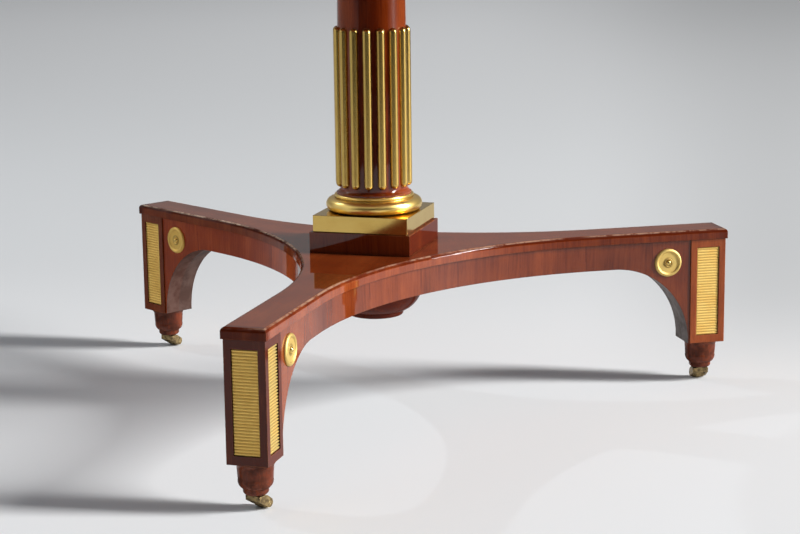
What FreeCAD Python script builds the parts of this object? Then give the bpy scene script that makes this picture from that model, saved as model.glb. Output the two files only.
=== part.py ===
# Tripod pedestal table: mahogany platform on three arched legs, with gilt-brass mounts.
# Millimetres, +Z up, origin on the floor under the column, front leg along -Y.
import FreeCAD
import Part
import Sketcher
import math
import os
from types import SimpleNamespace

# Driving dimensions, in millimetres, degrees and counts.
SIZES = {
    # whole table
    "table_height": 740,
    # platform slab
    "slab_thick": 12.5,
    "slab_overhang": 2,
    "slab_round": 4.5,
    "sweep_radius": 460,
    # leg posts
    "post_reach": 449,
    "post_width": 46,
    "post_height": 134,
    "post_proud": 1.5,
    # arms
    "frieze_height": 32.6,
    "arch_toe": 2,
    "arch_straight": 3,
    "arm_tenon_thick": 14,
    "arm_tenon_long": 20,
    "arm_tenon_tall": 70,
    "arm_tenon_drop": 14,
    # ribbed panels
    "panel_width": 29.5,
    "panel_height": 113.5,
    "panel_drop": 10.5,
    "panel_plate": 1,
    "rib_count": 33,
    "rib_gap": 0.3,
    "rib_rise": 1,
    "rib_end_gap": 0.5,
    "panel_recess": 0.8,
    # roundels
    "roundel_radius": 17.8,
    "roundel_inset": 30.4,
    "roundel_drop": 27.4,
    "roundel_edge": 1,
    "roundel_rim_wide": 4.9,
    "roundel_rim_rise": 3.1,
    "roundel_field_rise": 1.4,
    "roundel_bead_radius": 5.8,
    "roundel_bead_wide": 1.6,
    "roundel_bead_rise": 2.1,
    "roundel_boss_radius": 3.5,
    "roundel_boss_rise": 4.5,
    "stud_radius": 1.5,
    "stud_long": 12,
    # turned feet
    "foot_height": 36,
    "foot_flange_radius": 21.8,
    "foot_flange_thick": 1.6,
    "foot_flare": 6,
    "foot_neck_radius": 19.6,
    "foot_cup_radius": 18.7,
    "foot_cup_height": 10,
    "foot_waist_radius": 14.8,
    "foot_ring_radius": 13.7,
    "foot_ring_height": 7,
    "foot_ring_round": 3.5,
    "foot_tenon_radius": 8,
    "foot_tenon_long": 22,
    # casters
    "caster_height": 18,
    "caster_trail": 10,
    "wheel_radius": 7,
    "wheel_width": 14,
    "wheel_crown": 0.9,
    "wheel_side_gap": 0.3,
    "axle_radius": 1.5,
    "axle_head": 0.4,
    "fork_cheek": 2.6,
    "fork_eye_radius": 5.2,
    "fork_crown_thick": 2.6,
    "fork_crown_radius": 5.5,
    "fork_back_thick": 1.3,
    "fork_back_drop": 3.2,
    "stem_pin_radius": 2.4,
    "stem_head_radius": 3.8,
    "stem_head_thick": 1.2,
    "stem_collar_radius": 6.5,
    "stem_collar_thick": 1.4,
    "stem_spigot_radius": 3.2,
    "stem_spigot_long": 18,
    "running_gap": 0.06,
    "end_float": 0.25,
    # pendant boss
    "boss_radius": 58,
    "boss_height": 40.5,
    "boss_rim": 3,
    "boss_bowl_radius": 36.5,
    "boss_ring_radius": 34,
    "boss_ring_height": 6,
    "boss_ring_round": 2.5,
    "boss_cavity_radius": 31,
    "boss_cavity_deep": 24,
    # plinth
    "plinth_width": 125,
    "plinth_height": 25,
    "shell_width": 118,
    "shell_height": 20,
    "shell_wall": 2,
    # base ring
    "torus_radius": 58.4,
    "torus_tube": 8,
    "groove_radius": 46.8,
    "groove_height": 0.5,
    "roll_radius": 48.2,
    "roll_tube": 2.2,
    # column
    "tenon_radius": 20,
    "tenon_short": 1,
    "spigot_radius": 36,
    "flare_radius": 45.5,
    "flare_lip": 1.8,
    "flare_height": 4.5,
    "shaft_radius": 41.3,
    "shaft_neck_radius": 38.5,
    "neck_shoulder": 1,
    "neck_height": 24,
    # rods in the flutes
    "rod_count": 16,
    "rod_radius": 5.3,
    "rod_centre_radius": 41.6,
    "rod_gap": 8.7,
    "rod_length": 193,
    "rod_phase": 9,
    # head of the column
    "necking_radius": 43.5,
    "necking_tube": 3,
    "capital_height": 18,
    "capital_lip": 3,
    "capital_low_radius": 40,
    "capital_high_radius": 54,
    "abacus_width": 118,
    "abacus_thick": 14,
    # bearer, top and rim
    "bearer_width": 300,
    "bearer_thick": 26,
    "bearer_bevel": 10,
    "bearer_well_deep": 13,
    "top_radius": 452,
    "top_thick": 22,
    "rim_thick": 4,
    "rim_round": 1.5,
    "screw_reach": 170,
    "screw_radius": 2.2,
    "screw_head_radius": 4.2,
    "screw_head_thick": 3,
    "screw_sink": 5,
    "screw_bite": 14,
    # tie rod
    "tie_radius": 5,
    "tie_tail": 3,
    "nut_circle": 10,
    "nut_tall": 8,
    "washer_radius": 28,
    "washer_thick": 2.5,
    # fits
    "glue_gap": 0.1,
    "thread_gap": 0.1,
}
LEGS = {"front": -90, "right": 30, "left": 150}
CASTER_HEADINGS = {"front": 70, "right": 112, "left": 72}

# Half the angle between neighbouring legs, where the arms are mitred together.
MITRE = 180 / len(LEGS)
COS_MITRE = math.cos(math.radians(MITRE))
SIN_MITRE = math.sin(math.radians(MITRE))

# Bulge of an arc: the tangent of a quarter of the angle that it turns through.
QUARTER = math.tan(math.radians(90 / 4))
SWEEP = math.tan(math.radians((90 - MITRE) / 4))
FULL_CURVE = 0.3
SOFT_CURVE = 0.2

doc = FreeCAD.newDocument("tripod_table")
sheet = doc.addObject("Spreadsheet::Sheet", "sizes")
for row, (alias, number) in enumerate(SIZES.items(), start=1):
    sheet.set(f"A{row}", alias)
    sheet.set(f"B{row}", str(number))
    sheet.setAlias(f"B{row}", alias)
doc.recompute()


class Dim:
    """A size: its number and the sheet expression that gives it."""

    def __init__(self, number, text):
        self.number = number
        self.text = text

    def __add__(self, other):
        other = dim(other)
        return Dim(self.number + other.number, f"({self.text} + {other.text})")

    def __sub__(self, other):
        other = dim(other)
        return Dim(self.number - other.number, f"({self.text} - {other.text})")

    def __mul__(self, other):
        other = dim(other)
        return Dim(self.number * other.number, f"({self.text} * {other.text})")

    def __truediv__(self, other):
        other = dim(other)
        return Dim(self.number / other.number, f"({self.text} / {other.text})")

    def __neg__(self):
        return self * -1

    __radd__ = __add__
    __rmul__ = __mul__


def dim(value):
    """A plain number as a size."""
    if isinstance(value, Dim):
        return value
    return Dim(float(value), f"({value:.12g})")


def hypot(across, along):
    """Length of the slope with these two legs."""
    return Dim(math.hypot(across.number, along.number), f"hypot({across.text}; {along.text})")


s = SimpleNamespace(**{name: Dim(float(number), f"sizes.{name}") for name, number in SIZES.items()})
nodes = []

# Levels above the floor.
post_bottom = s.caster_height + s.foot_height
post_top = post_bottom + s.post_height
slab_top = post_top + s.slab_thick
frieze_bottom = post_top - s.frieze_height
plinth_top = slab_top + s.plinth_height
shell_top = plinth_top + s.shell_height
ring_top = shell_top + s.torus_tube * 2 + s.groove_height + s.roll_tube * 2
rod_bottom = ring_top + s.rod_gap
rod_top = rod_bottom + s.rod_length
top_bottom = s.table_height - s.top_thick
bearer_bottom = top_bottom - s.bearer_thick
well_floor = top_bottom - s.bearer_well_deep
abacus_bottom = bearer_bottom - s.abacus_thick
shaft_top = abacus_bottom - s.capital_height
neck_bottom = shaft_top - s.neck_height

# Places along an arm, measured from the column's axis.
post_inner = s.post_reach - s.post_width
leg_axis = s.post_reach - s.post_width / 2
arm_half = s.post_width / 2 - s.post_proud
panel_bottom = s.post_height - s.panel_drop - s.panel_height
panel_sink = s.panel_plate + s.rib_rise + s.panel_recess


def bind(obj, path, size):
    """Ties a property to the sheet."""
    obj.setExpression(path, dim(size).text)


def place(obj, x=0, y=0, z=0, leg=0, turn=None):
    """Sets a sub-part down at x, y, z of the frame of the leg at that angle, turned first."""
    x, y, z = dim(x), dim(y), dim(z)
    spin = FreeCAD.Rotation(FreeCAD.Vector(0, 0, 1), leg)
    along = math.cos(math.radians(leg))
    across = math.sin(math.radians(leg))
    base = (x * along - y * across, x * across + y * along, z)
    rotation = spin.multiply(turn) if turn else spin
    obj.Placement = FreeCAD.Placement(FreeCAD.Vector(*[b.number for b in base]), rotation)
    for axis, size in zip("xyz", base):
        bind(obj, f"Placement.Base.{axis}", size)
    return obj


def keep(obj, label):
    """Names a finished sub-part and lists it for export."""
    obj.Label = label
    nodes.append(obj)
    return obj


# Sketching


def new_sketch(body, role):
    """An empty sketch on one of the body's own planes."""
    sketch = body.newObject("Sketcher::SketchObject", "Sketch")
    plane = [f for f in body.Origin.OriginFeatures if f.Role == role]
    sketch.AttachmentSupport = [(plane[0], "")]
    sketch.MapMode = "FlatFace"
    return sketch


def pin(sketch, geometry, position, x, y):
    """Holds one point of a sketch at x, y."""
    for kind, size in (("DistanceX", x), ("DistanceY", y)):
        index = sketch.addConstraint(
            Sketcher.Constraint(kind, -1, 1, geometry, position, size.number)
        )
        bind(sketch, f"Constraints[{index}]", size)


def arc_between(start, end, bulge):
    """The arc from start to end that turns left for a positive bulge and right for a negative one."""
    chord = end - start
    left = FreeCAD.Vector(-chord.y, chord.x, 0)
    centre = (start + end) * 0.5 + left * ((1 - bulge * bulge) / (4 * bulge))
    first, last = (start, end) if bulge > 0 else (end, start)
    angles = [math.atan2(p.y - centre.y, p.x - centre.x) for p in (first, last)]
    if angles[1] < angles[0]:
        angles[1] += 2 * math.pi
    circle = Part.Circle(centre, FreeCAD.Vector(0, 0, 1), (first - centre).Length)
    return Part.ArcOfCircle(circle, *angles)


def trace(sketch, corners):
    """Closes an outline through corners (x, y); a third value is the bulge of the arc that ends there."""
    spots = [(dim(c[0]), dim(c[1])) for c in corners]
    runs = []
    for i, corner in enumerate(corners):
        (ax, ay), (bx, by) = spots[i - 1], spots[i]
        start = FreeCAD.Vector(ax.number, ay.number, 0)
        end = FreeCAD.Vector(bx.number, by.number, 0)
        if len(corner) == 2:
            line = sketch.addGeometry(Part.LineSegment(start, end), False)
            runs.append((line, 1, 2))
            continue
        bulge = dim(corner[2])
        left_turn = bulge.number > 0
        arc = sketch.addGeometry(arc_between(start, end, bulge.number), False)
        runs.append((arc, 1, 2) if left_turn else (arc, 2, 1))
        size = bulge if left_turn else -bulge
        radius = hypot(bx - ax, by - ay) * (size * size + 1) / (size * 4)
        index = sketch.addConstraint(Sketcher.Constraint("Radius", arc, radius.number))
        bind(sketch, f"Constraints[{index}]", radius)
    for i, (geometry, _, end) in enumerate(runs):
        following, start, _ = runs[(i + 1) % len(runs)]
        sketch.addConstraint(Sketcher.Constraint("Coincident", geometry, end, following, start))
        pin(sketch, geometry, end, *spots[i])


def dome(radius, rise):
    """Bulge of a round cap of that rise, centred on its axis."""
    return (hypot(radius, rise) - radius) / rise


def circle(sketch, radius, x=0, y=0):
    """A circle of that radius about x, y."""
    radius, x, y = dim(radius), dim(x), dim(y)
    centre = FreeCAD.Vector(x.number, y.number, 0)
    ring = sketch.addGeometry(Part.Circle(centre, FreeCAD.Vector(0, 0, 1), radius.number), False)
    index = sketch.addConstraint(Sketcher.Constraint("Radius", ring, radius.number))
    bind(sketch, f"Constraints[{index}]", radius)
    pin(sketch, ring, 3, x, y)


def rectangle(sketch, x, y, wide, tall):
    """A rectangle from its low corner."""
    x, y = dim(x), dim(y)
    trace(sketch, [(x, y), (x + wide, y), (x + wide, y + tall), (x, y + tall)])


def square(sketch, wide):
    """A square about the origin."""
    rectangle(sketch, wide / -2, wide / -2, wide, wide)


# Features


def new_body(name):
    return doc.addObject("PartDesign::Body", name)


def pad(body, sketch, length, both_sides=False):
    """Raises a sketch along its normal, or to both sides of its plane."""
    feature = body.newObject("PartDesign::Pad", "Pad")
    feature.Profile = sketch
    feature.SideType = "Symmetric" if both_sides else "One side"
    bind(feature, "Length", length)
    return feature


def pocket(body, sketch, length=None, both_sides=False, upward=False):
    """Cuts a sketch into the body, right through where no length is given."""
    feature = body.newObject("PartDesign::Pocket", "Pocket")
    feature.Profile = sketch
    feature.SideType = "Symmetric" if both_sides else "One side"
    feature.Reversed = upward
    if length is None:
        feature.Type = "ThroughAll"
    else:
        bind(feature, "Length", length)
    return feature


def around(body, feature, count):
    """Repeats a feature evenly about the body's Z axis."""
    pattern = body.newObject("PartDesign::PolarPattern", "PolarPattern")
    axis = [f for f in body.Origin.OriginFeatures if f.Role == "Z_Axis"]
    pattern.Originals = [feature]
    pattern.Axis = (axis[0], [""])
    pattern.Angle = 360
    bind(pattern, "Occurrences", count)
    body.Tip = pattern
    return pattern


def turned(name, corners):
    """A body turned about its Z axis from half an outline of (radius, height) corners."""
    body = new_body(name)
    sketch = new_sketch(body, "XZ_Plane")
    trace(sketch, corners)
    feature = body.newObject("PartDesign::Revolution", "Revolution")
    feature.Profile = sketch
    feature.ReferenceAxis = (sketch, ["V_Axis"])
    feature.Angle = 360
    return body


def turned_off_axis(body, kind, centre_x, corners):
    """Turns an outline about an upright line at centre_x, as added or cut material."""
    sketch = new_sketch(body, "XZ_Plane")
    trace(sketch, corners)
    low, high = corners[0][1], corners[-1][1]
    ends = [FreeCAD.Vector(centre_x.number, dim(z).number, 0) for z in (low, high)]
    axis = sketch.addGeometry(Part.LineSegment(*ends), True)
    for position, z in ((1, low), (2, high)):
        pin(sketch, axis, position, centre_x, dim(z))
    feature = body.newObject(f"PartDesign::{kind}", kind)
    feature.Profile = sketch
    feature.ReferenceAxis = (sketch, ["Axis0"])
    feature.Angle = 360
    return feature


def box(length, width, height, x, y, z):
    """A block from its low corner, for booleans."""
    block = doc.addObject("Part::Box", "Box")
    bind(block, "Length", length)
    bind(block, "Width", width)
    bind(block, "Height", height)
    return place(block, x, y, z)


def rod(radius, height, x, y, z):
    """An upright cylinder, for booleans."""
    cylinder = doc.addObject("Part::Cylinder", "Cylinder")
    bind(cylinder, "Radius", radius)
    bind(cylinder, "Height", height)
    return place(cylinder, x, y, z)


def cut(base, *tools):
    """The base less all the tools."""
    tool = tools[0]
    if len(tools) > 1:
        tool = doc.addObject("Part::MultiFuse", "Tools")
        tool.Shapes = list(tools)
    result = doc.addObject("Part::Cut", "Cut")
    result.Base = base
    result.Tool = tool
    return result


def group(label, *members):
    """Separate solids that share one node."""
    together = doc.addObject("Part::Compound", label)
    together.Links = list(members)
    return keep(together, label)


# Platform: slab, arms and posts


def sector(sketch, half, radius, end):
    """One leg's share of the platform in plan: mitred at the middle, swept sides, straight end."""
    reach = (half + radius) / SIN_MITRE
    apex = reach - radius
    tangent = reach * COS_MITRE
    trace(
        sketch,
        [
            (0, 0),
            (apex * COS_MITRE, -apex * SIN_MITRE),
            (tangent, -half, -SWEEP),
            (end, -half),
            (end, half),
            (tangent, half),
            (apex * COS_MITRE, apex * SIN_MITRE, -SWEEP),
        ],
    )


def platform_top():
    body = new_body("platform_top")
    sketch = new_sketch(body, "XY_Plane")
    half = s.post_width / 2 + s.slab_overhang
    sector(sketch, half, s.sweep_radius, s.post_reach + s.slab_overhang)
    star = pad(body, sketch, s.slab_thick)
    around(body, star, len(LEGS))
    bore = new_sketch(body, "XY_Plane")
    circle(bore, s.tenon_radius + s.glue_gap)
    hole = pocket(body, bore, both_sides=True)
    doc.recompute()
    top_edges = [
        f"Edge{i}"
        for i, edge in enumerate(hole.Shape.Edges, start=1)
        if edge.BoundBox.ZMin > s.slab_thick.number / 2
        and math.hypot(edge.CenterOfMass.x, edge.CenterOfMass.y) > s.tenon_radius.number
    ]
    fillet = body.newObject("PartDesign::Fillet", "Fillet")
    fillet.Base = (hole, top_edges)
    bind(fillet, "Radius", s.slab_round)
    return keep(place(body, z=post_top, leg=LEGS["front"]), "platform_top")


def arm(name, angle):
    """Frieze under the slab and the arched bracket down the inside of its post."""
    body = new_body(f"arm_{name}")
    plan = new_sketch(body, "XY_Plane")
    radius = s.sweep_radius + s.slab_overhang + s.post_proud
    sector(plan, arm_half, radius, post_inner)
    pad(body, plan, s.frieze_height)
    drop = s.post_height - s.frieze_height
    arch = drop - s.arch_straight
    toe = post_inner - s.arch_toe
    side = new_sketch(body, "XZ_Plane")
    trace(
        side,
        [
            (toe - arch, 0),
            (toe, -arch, -QUARTER),
            (toe, -drop),
            (post_inner, -drop),
            (post_inner, 0),
        ],
    )
    pad(body, side, arm_half * 2, both_sides=True)
    tenon = new_sketch(body, "XZ_Plane")
    tenon_low = s.frieze_height - s.arm_tenon_drop - s.arm_tenon_tall
    rectangle(tenon, post_inner, tenon_low, s.arm_tenon_long, s.arm_tenon_tall)
    pad(body, tenon, s.arm_tenon_thick, both_sides=True)
    bore = new_sketch(body, "XY_Plane")
    circle(bore, s.tenon_radius + s.glue_gap)
    pocket(body, bore, both_sides=True)
    stud = new_sketch(body, "XZ_Plane")
    circle(
        stud,
        s.stud_radius + s.glue_gap,
        post_inner - s.roundel_inset,
        s.frieze_height - s.roundel_drop,
    )
    pocket(body, stud, both_sides=True)
    return keep(place(body, z=frieze_bottom, leg=angle), f"arm_{name}")


def leg_post(name, angle):
    """Square post with a sunk field on three faces, a mortise for the arm and a socket for the foot."""
    block = box(s.post_width, s.post_width, s.post_height, post_inner, s.post_width / -2, 0)
    field = s.panel_width
    end = box(
        panel_sink, field, s.panel_height, s.post_reach - panel_sink, field / -2, panel_bottom
    )
    sides = [
        box(field, panel_sink, s.panel_height, leg_axis - field / 2, y, panel_bottom)
        for y in (s.post_width / -2, s.post_width / 2 - panel_sink)
    ]
    mortise_wide = s.arm_tenon_thick + s.glue_gap * 2
    mortise = box(
        s.arm_tenon_long + s.glue_gap,
        mortise_wide,
        s.arm_tenon_tall + s.glue_gap * 2,
        post_inner,
        mortise_wide / -2,
        s.post_height - s.arm_tenon_drop - s.arm_tenon_tall - s.glue_gap,
    )
    socket = rod(
        s.foot_tenon_radius + s.glue_gap, s.foot_tenon_long + s.glue_gap, leg_axis, 0, 0
    )
    post = cut(block, end, *sides, mortise, socket)
    return keep(place(post, z=post_bottom, leg=angle), f"leg_post_{name}")


# Brass mounts on the legs


def ribbed_panel(label, angle, x, y, facing):
    """Brass plate with level rounded ribs, sunk in a post so that the ribs lie just below its face."""
    body = new_body(label)
    wide = s.panel_width - s.glue_gap * 2
    tall = s.panel_height - s.glue_gap * 2
    pitch = tall / s.rib_count
    plate = new_sketch(body, "XZ_Plane")
    rectangle(plate, -panel_sink, 0, s.panel_plate, tall)
    pad(body, plate, wide, both_sides=True)
    rib = new_sketch(body, "XZ_Plane")
    face = s.panel_plate - panel_sink
    cap = dome((pitch - s.rib_gap) / 2, s.rib_rise)
    trace(
        rib,
        [
            (face, s.rib_gap / 2),
            (-s.panel_recess, pitch / 2, cap),
            (face, pitch - s.rib_gap / 2, cap),
        ],
    )
    first = pad(body, rib, wide - s.rib_end_gap * 2, both_sides=True)
    pattern = body.newObject("PartDesign::LinearPattern", "LinearPattern")
    axis = [f for f in body.Origin.OriginFeatures if f.Role == "Z_Axis"]
    pattern.Originals = [first]
    pattern.Direction = (axis[0], [""])
    bind(pattern, "Length", tall - pitch)
    bind(pattern, "Occurrences", s.rib_count)
    body.Tip = pattern
    turn = FreeCAD.Rotation(FreeCAD.Vector(0, 0, 1), facing)
    z = post_bottom + panel_bottom + s.glue_gap
    return keep(place(body, x, y, z, angle, turn), label)


def roundel(label, angle, side):
    """Turned patera with a rolled rim, a sunk field, a bead and a domed boss, on a stud."""
    rim_inner = s.roundel_radius - s.roundel_rim_wide
    rim_middle = s.roundel_radius - s.roundel_rim_wide / 2
    bead_middle = s.roundel_bead_radius - s.roundel_bead_wide / 2
    bead_inner = s.roundel_bead_radius - s.roundel_bead_wide
    boss_dome = s.roundel_boss_rise - s.roundel_field_rise
    body = turned(
        label,
        [
            (0, -s.stud_long),
            (s.stud_radius, -s.stud_long),
            (s.stud_radius, 0),
            (s.roundel_radius, 0),
            (s.roundel_radius, s.roundel_edge),
            (rim_middle, s.roundel_rim_rise, FULL_CURVE),
            (rim_inner, s.roundel_field_rise, FULL_CURVE),
            (s.roundel_bead_radius, s.roundel_field_rise),
            (bead_middle, s.roundel_bead_rise, FULL_CURVE),
            (bead_inner, s.roundel_field_rise, FULL_CURVE),
            (s.roundel_boss_radius, s.roundel_field_rise),
            (0, s.roundel_boss_rise, dome(s.roundel_boss_radius, boss_dome)),
        ],
    )
    turn = FreeCAD.Rotation(FreeCAD.Vector(1, 0, 0), -90 * side)
    x = post_inner - s.roundel_inset
    return keep(place(body, x, arm_half * side, post_top - s.roundel_drop, angle, turn), label)


# Feet and casters


def foot(name, angle):
    """Turned foot: ring, cup and flared flange, tenoned into the post and bored for the caster."""
    bore = s.stem_spigot_radius + s.glue_gap
    deep = s.stem_spigot_long + s.glue_gap
    flare_top = s.foot_height - s.foot_flange_thick
    body = turned(
        f"foot_{name}",
        [
            (bore, 0),
            (s.foot_ring_radius - s.foot_ring_round, 0),
            (s.foot_ring_radius, s.foot_ring_round, QUARTER),
            (s.foot_ring_radius, s.foot_ring_height),
            (s.foot_waist_radius, s.foot_ring_height),
            (s.foot_cup_radius, s.foot_ring_height + s.foot_cup_height, FULL_CURVE),
            (s.foot_neck_radius, flare_top - s.foot_flare),
            (s.foot_flange_radius, flare_top, -SOFT_CURVE),
            (s.foot_flange_radius, s.foot_height),
            (s.foot_tenon_radius, s.foot_height),
            (s.foot_tenon_radius, s.foot_height + s.foot_tenon_long),
            (0, s.foot_height + s.foot_tenon_long),
            (0, deep),
            (bore, deep),
        ],
    )
    return keep(place(body, leg_axis, 0, s.caster_height, angle), f"foot_{name}")


# Heights in a caster, above the floor.
collar_bottom = s.caster_height - s.stem_collar_thick
crown_top = collar_bottom - s.end_float
crown_bottom = crown_top - s.fork_crown_thick
head_top = crown_bottom - s.end_float
head_bottom = head_top - s.stem_head_thick
fork_gap = s.wheel_width + s.wheel_side_gap * 2
fork_width = fork_gap + s.fork_cheek * 2


def heading_turn(name):
    """Turns a caster, whose wheel trails along its own +X, to its heading in the room."""
    return FreeCAD.Rotation(FreeCAD.Vector(0, 0, 1), CASTER_HEADINGS[name] - LEGS[name])


def caster_stem(name, angle):
    """Spigot in the foot, collar, and the pin that the fork swivels on, riveted over below."""
    body = turned(
        f"caster_stem_{name}",
        [
            (0, head_bottom),
            (s.stem_head_radius, head_bottom),
            (s.stem_head_radius, head_top),
            (s.stem_pin_radius, head_top),
            (s.stem_pin_radius, collar_bottom),
            (s.stem_collar_radius, collar_bottom),
            (s.stem_collar_radius, s.caster_height),
            (s.stem_spigot_radius, s.caster_height),
            (s.stem_spigot_radius, s.caster_height + s.stem_spigot_long),
            (0, s.caster_height + s.stem_spigot_long),
        ],
    )
    return keep(place(body, leg_axis, 0, 0, angle), f"caster_stem_{name}")


def caster_fork(name, angle):
    """Crown on the stem's pin, a back wall, and two cheeks that carry the axle behind it."""
    body = new_body(f"caster_fork_{name}")
    eye = s.fork_eye_radius * math.sqrt(0.5)
    outline = new_sketch(body, "XZ_Plane")
    trace(
        outline,
        [
            (-s.fork_crown_radius, crown_bottom - s.fork_back_drop),
            (-s.fork_crown_radius, crown_top),
            (s.fork_crown_radius, crown_top),
            (s.caster_trail + eye, s.wheel_radius + eye),
            (s.caster_trail + eye, s.wheel_radius - eye, -QUARTER),
            (s.caster_trail - eye, s.wheel_radius - eye, -QUARTER),
        ],
    )
    pad(body, outline, fork_width, both_sides=True)
    slot = new_sketch(body, "XZ_Plane")
    slot_end = s.caster_trail + s.fork_eye_radius * 2
    slot_start = s.fork_back_thick - s.fork_crown_radius
    trace(
        slot,
        [
            (slot_start, -crown_top),
            (slot_end, -crown_top),
            (slot_end, crown_top * 2),
            (s.fork_crown_radius, crown_top * 2),
            (s.fork_crown_radius, crown_bottom),
            (slot_start, crown_bottom),
        ],
    )
    pocket(body, slot, fork_gap, both_sides=True)
    pin_hole = new_sketch(body, "XY_Plane")
    circle(pin_hole, s.stem_pin_radius + s.running_gap)
    pocket(body, pin_hole, both_sides=True)
    axle_hole = new_sketch(body, "XZ_Plane")
    circle(axle_hole, s.axle_radius + s.glue_gap / 2, s.caster_trail, s.wheel_radius)
    pocket(body, axle_hole, both_sides=True)
    return keep(place(body, leg_axis, 0, 0, angle, heading_turn(name)), f"caster_fork_{name}")


def on_axle(body, name, angle):
    """Lays a turned piece along a caster's axle."""
    lay = heading_turn(name).multiply(FreeCAD.Rotation(FreeCAD.Vector(1, 0, 0), 90))
    swing = math.radians(CASTER_HEADINGS[name] - LEGS[name])
    x = leg_axis + s.caster_trail * math.cos(swing)
    return place(body, x, s.caster_trail * math.sin(swing), s.wheel_radius, angle, lay)


def caster_wheel(name, angle):
    """Barrel wheel, crowned in the middle of its tread."""
    half = s.wheel_width / 2
    edge = s.wheel_radius - s.wheel_crown
    bore = s.axle_radius + s.running_gap
    body = turned(
        f"caster_wheel_{name}",
        [
            (bore, -half),
            (edge, -half),
            (s.wheel_radius, 0, SOFT_CURVE / 4),
            (edge, half, SOFT_CURVE / 4),
            (bore, half),
        ],
    )
    return keep(on_axle(body, name, angle), f"caster_wheel_{name}")


def caster_axle(name, angle):
    """Pin through both cheeks, with its ends rounded over."""
    half = fork_width / 2
    end = dome(s.axle_radius, s.axle_head)
    body = turned(
        f"caster_axle_{name}",
        [
            (0, -half - s.axle_head),
            (s.axle_radius, -half, end),
            (s.axle_radius, half),
            (0, half + s.axle_head, end),
        ],
    )
    return keep(on_axle(body, name, angle), f"caster_axle_{name}")


# Middle of the platform


def pendant_boss():
    """Turned bowl under the platform, hollowed over the tie rod's nut."""
    ring_low = s.boss_ring_round - s.boss_height
    ring_high = s.boss_ring_height - s.boss_height
    body = turned(
        "pendant_boss",
        [
            (0, -s.boss_height),
            (s.boss_ring_radius - s.boss_ring_round, -s.boss_height),
            (s.boss_ring_radius, ring_low, QUARTER),
            (s.boss_ring_radius, ring_high),
            (s.boss_bowl_radius, ring_high),
            (s.boss_radius, -s.boss_rim, FULL_CURVE),
            (s.boss_radius, 0),
            (s.boss_cavity_radius, 0),
            (s.boss_cavity_radius, -s.boss_cavity_deep),
            (0, -s.boss_cavity_deep),
        ],
    )
    return keep(place(body, z=frieze_bottom), "pendant_boss")


def plinth_block():
    """Square block on the slab, with a raised core inside the brass shell."""
    body = new_body("plinth_block")
    foot_print = new_sketch(body, "XY_Plane")
    square(foot_print, s.plinth_width)
    pad(body, foot_print, s.plinth_height)
    core = new_sketch(body, "XY_Plane")
    square(core, s.shell_width - s.shell_wall * 2 - s.glue_gap * 2)
    pad(body, core, s.plinth_height + s.shell_height - s.shell_wall - s.glue_gap)
    bore = new_sketch(body, "XY_Plane")
    circle(bore, s.tenon_radius + s.glue_gap)
    pocket(body, bore, both_sides=True)
    return keep(place(body, z=slab_top), "plinth_block")


def plinth_shell():
    """Square brass cap, open below, bored for the column's tenon."""
    body = new_body("plinth_shell")
    outside = new_sketch(body, "XY_Plane")
    square(outside, s.shell_width)
    pad(body, outside, s.shell_height)
    inside = new_sketch(body, "XY_Plane")
    square(inside, s.shell_width - s.shell_wall * 2)
    pocket(body, inside, s.shell_height - s.shell_wall, upward=True)
    bore = new_sketch(body, "XY_Plane")
    circle(bore, s.tenon_radius + s.glue_gap)
    pocket(body, bore, both_sides=True)
    return keep(place(body, z=plinth_top), "plinth_shell")


def base_ring():
    """Turned brass ring: a torus, a groove and a smaller roll."""
    bore = s.spigot_radius + s.glue_gap
    torus_in = s.torus_radius - s.torus_tube
    torus_top = s.torus_tube * 2
    roll_in = s.roll_radius - s.roll_tube
    roll_low = torus_top + s.groove_height
    body = turned(
        "base_ring",
        [
            (bore, 0),
            (torus_in, 0),
            (s.torus_radius, s.torus_tube, QUARTER),
            (torus_in, torus_top, QUARTER),
            (s.groove_radius, torus_top),
            (s.groove_radius, roll_low),
            (roll_in, roll_low),
            (s.roll_radius, roll_low + s.roll_tube, QUARTER),
            (roll_in, roll_low + s.roll_tube * 2, QUARTER),
            (bore, roll_low + s.roll_tube * 2),
        ],
    )
    return keep(place(body, z=shell_top), "base_ring")


# Column


def rod_outline(gap):
    """Half the outline of a round-ended rod, let out all over by a gap."""
    radius = s.rod_radius + gap
    edge = s.rod_centre_radius + radius
    low = rod_bottom - gap
    high = rod_top + gap
    return [
        (s.rod_centre_radius, low),
        (edge, low + radius, QUARTER),
        (edge, high - radius),
        (s.rod_centre_radius, high, QUARTER),
    ]


def turn_rods(body):
    """Turns the column so that no rod stands square to a leg."""
    place(body, leg=s.rod_phase.number)
    bind(body, "Placement.Rotation.Angle", s.rod_phase)
    return body


def column_shaft():
    """Turned shaft, tenoned at both ends, bored for the tie rod and fluted for the rods."""
    bore = s.tie_radius + s.glue_gap
    flare_top = ring_top + s.flare_lip
    tenon_low = frieze_bottom + s.tenon_short
    tenon_high = well_floor - s.tenon_short
    body = turned(
        "column_shaft",
        [
            (bore, tenon_low),
            (s.tenon_radius, tenon_low),
            (s.tenon_radius, shell_top),
            (s.spigot_radius, shell_top),
            (s.spigot_radius, ring_top),
            (s.flare_radius, ring_top),
            (s.flare_radius, flare_top),
            (s.shaft_radius, flare_top + s.flare_height, -SOFT_CURVE),
            (s.shaft_radius, rod_top),
            (s.shaft_neck_radius + s.neck_shoulder, neck_bottom),
            (s.shaft_neck_radius, neck_bottom),
            (s.shaft_neck_radius, shaft_top),
            (s.tenon_radius, shaft_top),
            (s.tenon_radius, tenon_high),
            (bore, tenon_high),
        ],
    )
    flute = turned_off_axis(body, "Groove", s.rod_centre_radius, rod_outline(s.glue_gap))
    around(body, flute, s.rod_count)
    return keep(turn_rods(body), "column_shaft")


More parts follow.
